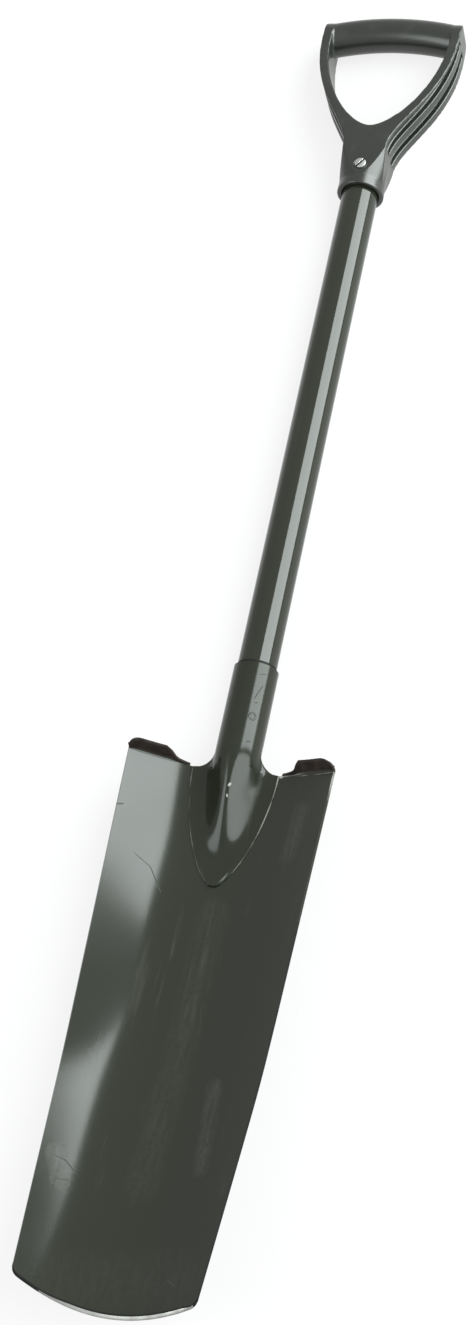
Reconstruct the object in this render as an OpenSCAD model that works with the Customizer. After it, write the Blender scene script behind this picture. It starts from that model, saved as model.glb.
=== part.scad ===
// Trenching spade lying on its back: X across, Y up the shaft, Z out of the blade's hollow face.

/* [Shaft] */
// Outside diameter of the steel tube
shaft_d = 30; // [25:0.5:40]
// Wall of the steel tube
shaft_wall = 1.8; // [1.2:0.1:3]
// Length of tube in sight between the socket and the handle
shaft_free_l = 437; // [250:1:700]
// Length of tube inside the socket
shaft_socket_depth = 56; // [30:1:60]
// Length of tube inside the handle
shaft_handle_depth = 37; // [24:1:44]

/* [Socket] */
// Wall of the socket sheet
socket_wall = 2; // [1.2:0.1:3]
// Radial clearance between socket and shaft
socket_gap = 0.15; // [0.1:0.05:0.3]
// Length of the closed round part of the socket
socket_round_l = 60; // [58:1:90]
// Length of the flare between the round part and the tongue
flare_l = 21; // [18:1:40]
// Length of the tongue below the flare
tongue_l = 89; // [60:1:120]
// Width of the tongue at its widest
tongue_w = 66; // [50:1:76]
// Length over which the ridge sinks into the tongue
ridge_l = 85; // [60:1:110]
// Diameter of the plug weld that fixes the shaft in the socket
plug_d = 7; // [4:0.5:10]

/* [Blade] */
// Thickness of the blade sheet
blade_t = 2; // [1.5:0.1:3]
// Length from the tread fold to the middle of the mouth
blade_l = 400; // [300:1:500]
// Width across the blade at the tread fold
blade_top_w = 156; // [130:1:180]
// Width across the blade at the bend
blade_bend_w = 141.8; // [110:0.1:160]
// Width across the blade at the corners of the mouth
blade_mouth_w = 126.6; // [100:0.1:150]
// Distance from the tread fold to the bend in the blade's edges
bend_l = 230; // [180:1:260]
// Depth of the blade's rounded mouth
mouth_round = 16.3; // [6:0.1:24]
// Depth of the hollow face's middle behind the shaft axis
hollow_back = 8.5; // [4:0.5:12]
// Height of the blade's edges over the shaft axis at the tread fold
edge_top_h = 18; // [10:0.5:26]
// Height of the blade's edges over the shaft axis at the bend
edge_bend_h = 23.3; // [14:0.1:34]
// Height of the blade's edges over the shaft axis at the mouth
edge_mouth_h = 44.5; // [24:0.5:56]
// Height of the middle of the mouth over the shaft axis
mouth_mid_h = 33; // [10:0.5:44]
// Length of the ground bevel on the mouth
bevel_l = 3; // [1:0.5:8]
// Thickness left at the cutting edge
edge_t = 0.8; // [0.5:0.1:1.5]

/* [Treads] */
// How far the treads stand forward of the blade's face
tread_depth = 14; // [8:0.5:24]
// How far the treads climb towards the handle
tread_climb = 3.5; // [0:0.5:8]
// Inside radius of the tread fold
fold_r = 3; // [2:0.5:6]
// Distance between the two treads
tread_gap_w = 94; // [76:1:104]
// Length of the rounding at the tread's outer corner
tread_corner = 11; // [4:0.5:20]

/* [Handle] */
// Outside diameter of the handle's collar
collar_d = 39.2; // [34:0.1:54]
// Radial clearance between collar and shaft
collar_gap = 0.15; // [0.1:0.05:0.3]
// Distance from the collar's rim to the lowest point of the hand opening
opening_base = 60; // [52:1:80]
// Distance from the collar's rim to the grip's centre line at mid-length
grip_h = 172.5; // [140:1:200]
// Diameter of the grip
grip_d = 28.8; // [22:0.2:36]
// Rise of the grip's arch
grip_arch = 7; // [1:0.5:10]
// Width across the arms
handle_w = 120; // [100:1:150]
// Width of each arm where it meets the grip
arm_w = 8; // [6:0.5:12]
// Height of the handle's front face over the shaft axis at the grip
front_grip_h = 12.5; // [6:0.5:16]
// Thickness of the front flange at the grip
front_flange_t = 3.5; // [2:0.5:6]
// Thickness of the back flange
back_flange_t = 8; // [4:0.5:10]
// Thickness of the rib between the two grooves
rib_t = 8; // [4:0.5:9]
// Depth of the grooves beside the rib
groove_depth = 5.5; // [3:0.5:5.5]
// Diameter of the fixing screw's head
screw_head_d = 9.4; // [7:0.1:12]
// Diameter of the fixing screw's shank
screw_d = 4.8; // [3:0.1:6]
// Distance from the collar's rim to the fixing screw
screw_pos = 19; // [14:0.5:24]

/* [Hidden] */
overrun = 1;
paint = "#3d3d38";
plastic = "#474a44";
zinc = "#c9ccc8";
round_fn = 96;

// Small sizes of the socket and its welds
sheet_gap = 0.1;
seat_inset = 0.2;
seat_l = 2;
fold_lead = 0.5;
ridge_lead = 6;
ridge_skirt = 1;
back_rake = 16;
plug_angle = 31;
plug_pos = -43;
bead_r = 2.4;
bead_w = 24;

// Small sizes of the blade
toe_l = 30;
bend_soft = 14;
notch_w = 70;

// Small sizes of the handle
collar_l = 40;
blend_pos = 6;
blend_lead = 5;
blend_r = 34.5;
neck_cover = 3;
top_corner_r = 7.5;
grip_back = 3;
arm_lead = 15;
end_drop = 1;
grip_inset = 6;
arm_foot_w = 37;
arm_pull = 28;
arm_swell = 64;
opening_pull = 40;
opening_swell = 53;
opening_floor = 1;
groove_start = 2;
screw_sink = 1.4;
screw_head_t = 2.6;
screw_l = 14;
screw_recess_gap = 0.6;
slot_w = 1.5;
slot_d = 1.3;
slot_angle = 52;
pilot_gap = 0.1;

// Shares and counts of the lofted sheets and curves
corner_climb_share = 0.12;
notch_curl_share = 0.3;
notch_end_share = 0.05;
ridge_hold_share = 1.8;
ridge_drop_share = 1.3;
swell_start_share = 0.4;
swell_top_share = 1.55;
swell_nose_share = 0.9;
fillet_share = 0.12;
spread_share = 0.6;
tip_share = 0.98;
taper_share = 1.8;
nose_share = 0.7;
spacing_share = 0.8;
blade_rows = 34;
tread_rows = 9;
cols = 40;
tongue_rows = 16;
flare_rows = 10;
tongue_cols = 40;
arc_steps = 12;
curve_steps = 18;

// Socket and shaft, with the socket rim at zero on Y and the shaft axis at zero on Z
shaft_r = shaft_d / 2;
socket_bore_r = shaft_r + socket_gap;
socket_r = socket_bore_r + socket_wall;
flare_end = -socket_round_l - flare_l;
ridge_y = -socket_round_l - ridge_lead;
ridge_peak = socket_r + hollow_back - sheet_gap - socket_wall;

// Blade stations along Y
fold_y = flare_end + fold_lead;
mouth_y = fold_y - blade_l;
corner_y = mouth_y + mouth_round;
bend_y = fold_y - bend_l;
toe_y = fold_y - toe_l;
back_end = fold_y + sheet_gap;

// Handle stations along Y
collar_r = collar_d / 2;
rim_y = shaft_free_l;
neck_y = rim_y + shaft_handle_depth;
blend_y = rim_y + blend_pos;
opening_y = rim_y + opening_base;
blend_end = opening_y + blend_lead;
grip_y = rim_y + grip_h;
arm_end_y = grip_y - arm_lead;
end_r = (front_grip_h + collar_r) / 2;
end_z = front_grip_h - end_r;
end_y = grip_y - grip_arch - end_drop;
handle_top_y = end_y + end_r;
opening_w = handle_w - 2 * arm_w;
grip_r = grip_d / 2;
collar_bore_r = shaft_r + collar_gap;
grip_z = -grip_back;
screw_seat = collar_r - screw_sink;

// Resting height and middle of the length
rest_h = collar_r;
mid_y = (grip_y + grip_r + mouth_y) / 2;

// Smooth step, soft corner and Bezier curve
function ramp(t) = let (c = min(1, max(0, t))) c * c * (3 - 2 * c);
function soft(d, k) = (d + sqrt(d * d + k * k)) / 2;
function mix(a, b, t) = a + (b - a) * t;
function bezier(p, t) =
    pow(1 - t, 3) * p[0] + 3 * t * pow(1 - t, 2) * p[1] + 3 * t * t * (1 - t) * p[2] + pow(t, 3) * p[3];

// Half width of the blade, height of its edges and height of its middle at a station
function lower(y) = soft(bend_y - y, bend_soft);
function along(y, top, bend, mouth) =
    let (upper_rate = (bend - top) / bend_l, lower_rate = (mouth - bend) / (bend_y - corner_y))
    bend + upper_rate * (bend_y - y) + (lower_rate - upper_rate) * lower(y);
function half_w(y) = along(y, blade_top_w, blade_bend_w, blade_mouth_w) / 2;
function edge_h(y) = along(y, edge_top_h, edge_bend_h, edge_mouth_h);
function mid_h(y) =
    let (t = max(0, toe_y - y) / (toe_y - mouth_y))
    mix(-hollow_back, mouth_mid_h, t * t);
function face_h(x, y) =
    let (u = x / half_w(y))
    mid_h(y) + (edge_h(y) - mid_h(y)) * u * u;
function slope_x(x, y) = 2 * (edge_h(y) - mid_h(y)) * x / pow(half_w(y), 2);

// Tread height share across the blade: rounded at the outer corner, running out along the notch
function tread_share(x) =
    let (out = blade_top_w / 2 - abs(x), inn = abs(x) - tread_gap_w / 2,
         run_out = (2 * abs(x) - notch_w) / (tread_gap_w - notch_w),
         curl = mix(notch_end_share, notch_curl_share, ramp(run_out)))
    min(sqrt(max(corner_climb_share, 1 - pow(max(0, 1 - out / tread_corner), 2))),
        mix(curl, 1, ramp((inn + fold_r) / (2 * fold_r))));

// Front point and outward normal of the blade sheet: rows below zero lie on the tread
function blade_y(u, t) = mix(fold_y, corner_y - mouth_round * (1 - u * u), t);
function blade_point(u, i) =
    i <= blade_rows ?
        let (last = 1 - bevel_l / blade_l, t = i == blade_rows ? 1 : last * i / (blade_rows - 1),
             y = blade_y(u, t), x = u * half_w(y), drop = i == blade_rows ? blade_t - edge_t : 0)
        [x, y, face_h(x, y) - drop]
    :
        let (k = i - blade_rows, x = u * half_w(fold_y), z0 = face_h(x, fold_y), share = tread_share(x),
             turn = min(1, k / (tread_rows - 2)) * 90, run = max(0, k - tread_rows + 2) / 2,
             bend = fold_r * share, reach = tread_depth * share - bend, up = tread_climb * share)
        [x, fold_y + bend * sin(turn) + up * run, z0 + bend * (1 - cos(turn)) + reach * run];
function blade_normal(u, i) =
    let (p = blade_point(u, min(i, blade_rows - 1)), a = atan(slope_x(u * half_w(fold_y), fold_y)))
    i <= blade_rows ?
        let (s = atan(slope_x(p[0], p[1])))
        [-sin(s), 0, cos(s)]
    :
        let (k = i - blade_rows, turn = min(1, k / (tread_rows - 2)) * 90)
        [-sin(a) * cos(turn), -sin(turn), cos(a) * cos(turn)];

// Rows run from the mouth up to the fold and on over the tread
function row_index(r) = r <= blade_rows ? blade_rows - r : r;
row_count = blade_rows + tread_rows;
function col_u(j) = 2 * j / cols - 1;
function has_cell(r, j) =
    r >= 0 && j >= 0 && j < cols && r < row_count &&
    (r < blade_rows || abs((col_u(j) + col_u(j + 1)) / 2) * blade_top_w > notch_w);
function front_id(r, j) = r * (cols + 1) + j;
function back_id(r, j) = front_id(r, j) + (row_count + 1) * (cols + 1);
function back_point(u, i) =
    let (keep = i == blade_rows ? edge_t : blade_t)
    blade_point(u, i) - keep * blade_normal(u, i);

module blade() {
    front = [for (r = [0:row_count]) for (j = [0:cols]) blade_point(col_u(j), row_index(r))];
    back = [for (r = [0:row_count]) for (j = [0:cols]) back_point(col_u(j), row_index(r))];
    cells = [for (r = [0:row_count - 1]) for (j = [0:cols - 1]) if (has_cell(r, j)) [r, j]];
    faces = [
        for (c = cells) let (r = c[0], j = c[1])
            each [
                [front_id(r, j), front_id(r + 1, j), front_id(r + 1, j + 1)],
                [front_id(r, j), front_id(r + 1, j + 1), front_id(r, j + 1)],
                [back_id(r, j), back_id(r + 1, j + 1), back_id(r + 1, j)],
                [back_id(r, j), back_id(r, j + 1), back_id(r + 1, j + 1)]
            ],
        for (c = cells) let (r = c[0], j = c[1])
            each [
                if (!has_cell(r - 1, j)) each wall(r, j, r, j + 1),
                if (!has_cell(r + 1, j)) each wall(r + 1, j + 1, r + 1, j),
                if (!has_cell(r, j - 1)) each wall(r + 1, j, r, j),
                if (!has_cell(r, j + 1)) each wall(r, j + 1, r + 1, j + 1)
            ]
    ];
    color(paint) lie_down() polyhedron(concat(front, back), faces, convexity = 6);
}

// Two triangles that close the sheet between front and back along one edge
function wall(r0, j0, r1, j1) = [
    [front_id(r0, j0), front_id(r1, j1), back_id(r1, j1)],
    [front_id(r0, j0), back_id(r1, j1), back_id(r0, j0)]
];

module lie_down() {
    translate([0, -mid_y, rest_h]) children();
}

// Cylinder along Y from one station to another
module rod(r, y0, y1) {
    translate([0, y0, 0]) rotate([-90, 0, 0]) cylinder(r = r, h = y1 - y0, $fn = round_fn);
}

// Sheet point of the flared socket and its tongue: u runs across, y along
function flare_s(y) = min(1, max(0, (-socket_round_l - y) / flare_l));
function tongue_t(y) = min(1, max(0, (flare_end - y) / tongue_l));
function tongue_half(y) =
    y > flare_end ?
        mix(socket_r, tongue_w / 2, 1 - sqrt(1 - pow(flare_s(y), 2)))
    :
        tongue_w / 2 * pow(1 - pow(tongue_t(y) * tip_share, taper_share), nose_share);
function ridge(x, y, skirt) =
    let (t = min(1, max(0, (ridge_y - y) / ridge_l)), foot = socket_r + skirt,
         tube = sqrt(soft(1 - pow(x / foot, 2), fillet_share)),
         swell = 1 - ramp(abs(x) / foot / mix(swell_top_share, swell_nose_share, t)),
         height = ridge_peak * pow(1 - pow(t, ridge_hold_share), ridge_drop_share))
    height * mix(tube, swell, ramp(t / swell_start_share));
function tongue_h(x, y, outer) =
    let (lift = outer ? socket_wall : 0, skirt = outer ? ridge_skirt : ridge_skirt - socket_wall)
    face_h(x, y) + sheet_gap + lift + ridge(x, y, skirt);
function flare_point(u, y, outer) =
    let (r = outer ? socket_r - seat_inset : socket_bore_r + seat_inset, s = ramp(flare_s(y)),
         x = mix(r * sin(90 * u), tongue_half(y) * mix(pow(u, 3), u, spread_share), s))
    [x, y, mix(sqrt(max(0, r * r - x * x)), tongue_h(x, y, outer), s)];
flare_count = flare_rows + tongue_rows + 1;
function flare_station(r) =
    r == 0 ? -socket_round_l + seat_l
    : r <= flare_rows ? -socket_round_l - flare_l * (r - 1) / (flare_rows - 1)
    : flare_end - tongue_l * pow((r - flare_rows) / (tongue_rows + 1), spacing_share);

module flare() {
    n = tongue_cols + 1;
    outer = [for (r = [0:flare_count]) for (j = [0:tongue_cols])
        flare_point(2 * j / tongue_cols - 1, flare_station(r), true)];
    inner = [for (r = [0:flare_count]) for (j = [0:tongue_cols])
        flare_point(2 * j / tongue_cols - 1, flare_station(r), false)];
    back = len(outer);
    last = flare_count * n;
    faces = [
        for (r = [0:flare_count - 1]) for (j = [0:tongue_cols - 1]) let (k = r * n + j)
            each [
                [k, k + 1, k + n + 1], [k, k + n + 1, k + n],
                [back + k, back + k + n + 1, back + k + 1], [back + k, back + k + n, back + k + n + 1]
            ],
        for (j = [0:tongue_cols - 1])
            each [
                [j, back + j, back + j + 1], [j, back + j + 1, j + 1],
                [last + j, back + last + j + 1, back + last + j],
                [last + j, last + j + 1, back + last + j + 1]
            ],
        for (r = [0:flare_count - 1]) let (k = r * n, e = r * n + tongue_cols)
            each [
                [k, k + n, back + k + n], [k, back + k + n, back + k],
                [e, back + e + n, e + n], [e, back + e, back + e + n]
            ]
    ];
    polyhedron(concat(outer, inner), faces, convexity = 6);
}

module socket() {
    color(paint) lie_down() {
        difference() {
            rod(socket_r, back_end, 0);
            rod(socket_bore_r, back_end - overrun, overrun);
            translate([-socket_r - overrun, back_end - overrun, 0])
                cube([2 * (socket_r + overrun), overrun - socket_round_l - back_end, socket_r + overrun]);
            rotate([90, 0, 90])
                linear_extrude(2 * (socket_r + overrun), center = true)
                    polygon([[back_end - overrun, -hollow_back], [back_end, -hollow_back],
                             [back_end + back_rake, -socket_r - overrun],
                             [back_end - overrun, -socket_r - overrun]]);
            rotate([0, plug_angle, 0]) translate([0, plug_pos, 0])
                cylinder(d = plug_d, h = socket_r + overrun);
        }
        flare();
    }
}

module shaft() {
    color(paint) lie_down() difference() {
        rod(shaft_r, -shaft_socket_depth, neck_y);
        rod(shaft_r - shaft_wall, -shaft_socket_depth - overrun, neck_y + overrun);
        translate([0, rim_y + screw_pos, 0]) cylinder(d = screw_d + 2 * pilot_gap, h = shaft_r + overrun);
    }
}

// Flush disc that fills the hole in the socket wall and bears on the shaft
module plug_weld() {
    color(paint) lie_down() intersection() {
        rotate([0, plug_angle, 0]) translate([0, plug_pos, 0]) cylinder(d = plug_d, h = socket_r + overrun);
        difference() {
            rod(socket_r, plug_pos - plug_d, plug_pos + plug_d);
            rod(shaft_r, plug_pos - plug_d - overrun, plug_pos + plug_d + overrun);
        }
    }
}

// Bead along the blade's top edge between the walls of the socket
module back_weld() {
    bead_y = fold_y + sheet_gap;
    bead_z = -hollow_back - blade_t / 2;
    color(paint) lie_down() intersection() {
        translate([0, bead_y + bead_r / 2, bead_z])
            rotate([0, 90, 0]) cylinder(r = bead_r, h = bead_w, center = true);
        rod(socket_bore_r, bead_y, bead_y + 2 * bead_r);
    }
}

// Outline curves of one arm, from the neck up to the grip
arm_outer = [[arm_foot_w / 2, neck_y], [arm_foot_w / 2, neck_y + arm_pull],
             [handle_w / 2, arm_end_y - arm_swell], [handle_w / 2, arm_end_y]];
arm_inner = [[0, opening_y], [opening_pull / 2, opening_y + opening_floor],
             [opening_w / 2, arm_end_y - opening_swell], [opening_w / 2, arm_end_y]];
function outer_curve() = [for (k = [0:curve_steps]) bezier(arm_outer, k / curve_steps)];
function inner_curve() = [for (k = [0:curve_steps]) bezier(arm_inner, k / curve_steps)];
function corner_curve() = [for (a = [0:15:90])
    [handle_w / 2 - top_corner_r * (1 - cos(a)), handle_top_y - top_corner_r * (1 - sin(a))]];
function backwards(list) = [for (k = [len(list) - 1:-1:0]) list[k]];

module arm_outline() {
    polygon(concat([[0, blend_y]], [[arm_foot_w / 2, blend_y]], outer_curve(), corner_curve(),
                   [[opening_w / 2, handle_top_y]], backwards(inner_curve())));
}

// Band between an arm's outer edge and the floor of its groove
module groove_outline() {
    floor_line = [for (k = [0:curve_steps])
        let (t = k / curve_steps, p = bezier(arm_outer, t), q = bezier(arm_inner, t))
        mix(p, q, groove_depth / norm(q - p))];
    intersection() {
        polygon(concat([for (p = outer_curve()) p + [overrun, 0]], backwards(floor_line)));
        translate([0, neck_y + groove_start]) square([handle_w, arm_end_y - neck_y - groove_start]);
    }
}

module both_sides() {
    children();
    mirror([1, 0, 0]) children();
}

// Side profile: flat back, front face falling from the collar to the grip, round end over the grip
module side_profile() {
    round_end = [for (k = [0:arc_steps])
        let (a = 90 - 180 * k / arc_steps)
        [end_y + end_r * cos(a), end_z + end_r * sin(a)]];
    rotate([90, 0, 90])
        linear_extrude(handle_w + 2 * overrun, center = true)
            polygon(concat([[blend_y, -collar_r], [blend_y, collar_r], [neck_y + neck_cover, collar_r]],
                           round_end));
}

module yoke() {
    difference() {
        intersection() {
            translate([0, 0, -collar_r]) linear_extrude(2 * collar_r) both_sides() arm_outline();
            side_profile();
            union() {
                translate([0, blend_y, 0]) rotate([-90, 0, 0])
                    cylinder(r1 = arm_foot_w / 2, r2 = blend_r, h = blend_end - blend_y, $fn = round_fn);
                translate([-handle_w / 2 - overrun, blend_end - overrun, -collar_r])
                    cube([handle_w + 2 * overrun, handle_top_y - blend_end + 2 * overrun, 2 * collar_r]);
            }
        }
        translate([0, 0, back_flange_t - collar_r])
            linear_extrude(collar_r - back_flange_t - rib_t / 2) both_sides() groove_outline();
        intersection() {
            translate([0, 0, rib_t / 2]) linear_extrude(collar_r) both_sides() groove_outline();
            translate([0, 0, -front_flange_t]) side_profile();
        }
    }
}

// Arched grip that runs into both arms
module grip() {
    half = handle_w / 2 - grip_inset;
    ring = (half * half + grip_arch * grip_arch) / (2 * grip_arch);
    spread = asin(half / ring);
    translate([0, grip_y - ring, grip_z]) rotate([0, 0, 90 - spread])
        rotate_extrude(angle = 2 * spread, $fn = 4 * round_fn)
            translate([ring, 0]) circle(r = grip_r, $fn = round_fn);
}

module handle() {
    color(plastic) lie_down() difference() {
        union() {
            translate([0, rim_y, 0]) rotate([-90, 0, 0])
                cylinder(r1 = collar_r, r2 = arm_foot_w / 2, h = collar_l, $fn = round_fn);
            yoke();
            grip();
        }
        rod(collar_bore_r, rim_y - overrun, neck_y);
        translate([0, rim_y + screw_pos, 0]) cylinder(d = screw_d + 2 * pilot_gap, h = collar_r + overrun);
        translate([0, rim_y + screw_pos, screw_seat])
            cylinder(d = screw_head_d + 2 * screw_recess_gap, h = collar_r);
    }
}

module handle_screw() {
    color(zinc) lie_down() translate([0, rim_y + screw_pos, 0]) difference() {
        union() {
            translate([0, 0, screw_seat]) cylinder(d = screw_head_d, h = screw_head_t);
            translate([0, 0, screw_seat - screw_l]) cylinder(d = screw_d, h = screw_l + overrun);
        }
        rotate([0, 0, slot_angle]) translate([-screw_head_d, -slot_w / 2, screw_seat + screw_head_t - slot_d])
            cube([2 * screw_head_d, slot_w, 2 * slot_d]);
    }
}

blade();
socket();
shaft();
plug_weld();
back_weld();
handle();
handle_screw();
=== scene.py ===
"""Trenching spade lying face up on a pale floor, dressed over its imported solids."""

import math

import bmesh
import bpy
from bpy.props import FloatProperty, FloatVectorProperty, PointerProperty
from mathutils import Matrix, Vector


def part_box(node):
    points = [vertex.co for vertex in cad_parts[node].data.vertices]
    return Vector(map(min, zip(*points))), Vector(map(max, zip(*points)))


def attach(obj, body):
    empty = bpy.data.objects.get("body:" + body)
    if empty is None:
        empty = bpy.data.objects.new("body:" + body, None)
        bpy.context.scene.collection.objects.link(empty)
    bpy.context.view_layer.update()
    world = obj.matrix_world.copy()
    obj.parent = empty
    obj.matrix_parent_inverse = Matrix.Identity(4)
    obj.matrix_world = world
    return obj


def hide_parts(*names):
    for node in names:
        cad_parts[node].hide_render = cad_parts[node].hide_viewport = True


bl_info = {
    "name": "Trenching Spade",
    "version": (1, 0, 0),
    "blender": (4, 5, 0),
    "location": "View3D > Sidebar > Spade",
    "description": "Builds a trenching spade piece by piece and lights it for a product picture",
    "category": "Object",
}

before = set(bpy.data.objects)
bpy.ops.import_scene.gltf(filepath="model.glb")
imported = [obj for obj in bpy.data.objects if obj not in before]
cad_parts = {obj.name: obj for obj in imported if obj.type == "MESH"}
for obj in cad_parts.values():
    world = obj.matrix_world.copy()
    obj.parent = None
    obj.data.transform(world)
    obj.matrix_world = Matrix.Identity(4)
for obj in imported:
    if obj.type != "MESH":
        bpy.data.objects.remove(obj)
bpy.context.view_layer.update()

# Forms are measured from the middle of the socket's rim, on the axis of the shaft, and marks in the paint
# from the frame's origin
SHAFT_LOW, SHAFT_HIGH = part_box("shaft")
AXIS_Z = (SHAFT_LOW.z + SHAFT_HIGH.z) / 2
RIM_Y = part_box("socket")[1].y

# Points closer than this are one point
MERGE = 1e-6
# Edges that turn by more than this are rounded
SHARP = math.radians(50)
# Least length of the edges beside a rounded one, in widths of the rounding
ROOM = 1.5
# Pull of the broad faces on the normals of the narrow ones beside them
FLAT_PULL = 80


def length(name, description, default):
    """A property that holds a length in metres."""
    return FloatProperty(name=name, description=description, default=default, unit="LENGTH", precision=5)


def share(name, description, default):
    """A property that holds a share from zero to one."""
    return FloatProperty(name=name, description=description, default=default, min=0, max=1, subtype="FACTOR")


def colour(name, description, default):
    """A property that holds a colour."""
    return FloatVectorProperty(name=name, description=description, default=default, size=4, subtype="COLOR",
                               min=0, max=1)


def angle(name, description, default):
    """A property that holds an angle in radians."""
    return FloatProperty(name=name, description=description, default=default, subtype="ANGLE")


def power(name, description, default):
    """A property that holds the power of a light."""
    return FloatProperty(name=name, description=description, default=default, unit="POWER")


class BladeSettings(bpy.types.PropertyGroup):
    """Sizes of the pressed blade and its treads."""

    sheet: length("Sheet", "Thickness of the blade", 0.002)
    long: length("Length", "From the tread fold to the middle of the mouth", 0.4)
    top_width: length("Top width", "Width at the tread fold", 0.156)
    bend_width: length("Bend width", "Width at the bend in the edges", 0.1418)
    mouth_width: length("Mouth width", "Width at the corners of the mouth", 0.1266)
    bend_at: length("Bend", "From the tread fold to the bend in the edges", 0.23)
    bend_soft: length("Bend softness", "Length over which the edges bend", 0.024)
    toe_at: length("Toe", "From the tread fold to where the middle starts to rise", 0.03)
    wave_at: length("Wave start", "From the tread fold to the start of the shallow wave", 0.0245)
    wave_long: length("Wave length", "Length of the shallow wave along the middle", 0.27)
    wave_high: length("Wave height", "Strength of the shallow wave", 0.0022)
    mouth_round: length("Mouth rounding", "Depth of the rounded mouth", 0.0163)
    mouth_corner: length("Mouth corner", "Rounding of the mouth's corners", 0.004)
    hollow: length("Hollow", "Depth of the middle behind the shaft's axis", 0.0085)
    edge_top: length("Edge at top", "Height of the edges at the tread fold", 0.018)
    edge_bend: length("Edge at bend", "Height of the edges at the bend", 0.0233)
    edge_mouth: length("Edge at mouth", "Height of the edges at the mouth", 0.0445)
    middle_mouth: length("Middle at mouth", "Height of the middle of the mouth", 0.033)
    fold_lead: length("Fold lead", "From the end of the flare up to the tread fold", 0.0005)
    tread_depth: length("Tread depth", "How far the treads stand forward", 0.014)
    tread_climb: length("Tread climb", "How far the treads climb towards the handle", 0.0035)
    fold_radius: length("Fold radius", "Inside radius of the tread fold", 0.003)
    tread_gap: length("Tread gap", "Distance between the treads", 0.094)
    tread_notch: length("Notch", "Width of the plain top edge between the treads", 0.07)
    tread_corner: length("Tread corner", "Length of the rounding at a tread's outer end", 0.011)
    ground_drop: length("Ground edge", "Thickness ground off at the mouth", 0.0012)
    ground_width: length("Ground width", "Width of the ground band at the mouth", 0.002)
    dark_line_width: length("Dark line", "Width of the dirt line above the ground band", 0.0013)
    edge_round: length("Edge rounding", "Rounding of the cut edges", 0.0003)


class SocketSettings(bpy.types.PropertyGroup):
    """Sizes of the socket, its flare and its tongue."""

    wall: length("Wall", "Thickness of the socket's sheet", 0.002)
    bore: length("Bore", "Inside radius of the round part", 0.01515)
    round_length: length("Round length", "Length of the closed round part", 0.06)
    flare_length: length("Flare length", "Length of the flare", 0.021)
    tongue_length: length("Tongue length", "Length of the tongue", 0.089)
    tongue_width: length("Tongue width", "Width of the tongue at its widest", 0.066)
    ridge_length: length("Ridge length", "Length over which the ridge sinks into the tongue", 0.085)
    ridge_lead: length("Ridge lead", "From the round part's end to where the ridge starts to sink", 0.006)
    ridge_skirt: length("Ridge skirt", "How far the foot of the ridge stands outside the tube", 0.001)
    lip: length("Lip", "Height of the tongue's rim over the blade", 0.0009)
    seat: length("Seat", "Gap between the tongue and the blade", 0.0001)
    back_rake: length("Back rake", "Length of the slanted cut at the open back", 0.016)
    edge_round: length("Edge rounding", "Rounding of the cut edges", 0.00025)


class ShaftSettings(bpy.types.PropertyGroup):
    """Sizes of the tubular shaft."""

    radius: length("Radius", "Outside radius of the tube", 0.015)
    wall: length("Wall", "Wall of the tube", 0.0018)
    end_round: length("End rounding", "Rounding of the tube's ends", 0.0004)
    dark_line_width: length("Dark line", "Width of the dark line on the tube above the socket's rim", 0.0028)


class HandleSettings(bpy.types.PropertyGroup):
    """Softening of the moulded handle."""

    grain: length("Grain", "Size of the cells that round the mouldings' edges", 0.00083)
    soften: share("Softening", "Strength of each smoothing pass", 0.5)


class FinishSettings(bpy.types.PropertyGroup):
    """Colours and gloss of the finishes."""

    paint: colour("Paint", "Gloss paint on the blade, socket and shaft", (0.0115, 0.0135, 0.0088, 1))
    paint_rubbed_and_reflection: colour("Rubbed paint and reflection", "Paint where soil has rubbed it, also the painted reflection streak down the blade", (0.060, 0.062, 0.053, 1))
    rim_highlight_and_chips: colour("Edge highlight and chips", "Painted highlight along the cut edges, also the colour of the chips", (0.24, 0.24, 0.22, 1))
    plastic: colour("Plastic", "Moulded handle", (0.0092, 0.0108, 0.0080, 1))
    plastic_worn: colour("Rubbed plastic", "Plastic where hands have rubbed it", (0.021, 0.023, 0.019, 1))
    zinc: colour("Zinc", "Plating of the screw", (0.48, 0.49, 0.47, 1))
    steel: colour("Steel", "Bare ground edge of the mouth", (0.36, 0.36, 0.345, 1))
    grime_and_slot_shade: colour("Grime and slot shade", "Dull dirt under the treads, and painted shade in the screw's slot", (0.016, 0.012, 0.010, 1))
    packed_dirt_and_dark_line: colour("Packed dirt and dark line", "Dark dirt at the mouth, and the dark line above the socket's rim", (0.0035, 0.0036, 0.0031, 1))


class StageSettings(bpy.types.PropertyGroup):
    """Camera, floor and lights."""

    camera_place: FloatVectorProperty(name="Camera", description="Place of the camera",
                                      default=(0.4136, -0.6709, 1.4114), subtype="TRANSLATION", unit="LENGTH")
    camera_yaw: angle("Yaw", "Turn of the camera round Y", 0.30038)
    camera_pitch: angle("Pitch", "Turn of the camera round X", 0.39305)
    camera_roll: angle("Roll", "Turn of the camera round its own line", 0.21928)
    lens: FloatProperty(name="Lens", description="Focal length for a 36 mm high sensor", default=56.73,
                        unit="CAMERA")
    floor: colour("Floor", "Pale floor", (0.55, 0.55, 0.545, 1))
    window_power: power("Window", "Power of the large soft light", 103)
    side_power: power("Side window", "Power of the soft light beside the blade", 27)
    lamp_power: power("Lamp", "Power of the small front light", 28)
    window_tint: colour("Window tint", "Colour of the large soft lights", (0.93, 1, 0.985, 1))


def ramp(t):
    """Smooth step from zero to one."""
    t = min(1, max(0, t))
    return t * t * (3 - 2 * t)


def mix(a, b, t):
    """Straight blend from one value to another."""
    return a + (b - a) * t


def placed(x, y, z):
    """A point given from the middle of the socket's rim, in the frame of the object."""
    return Vector((x, RIM_Y + y, AXIS_Z + z))


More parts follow.
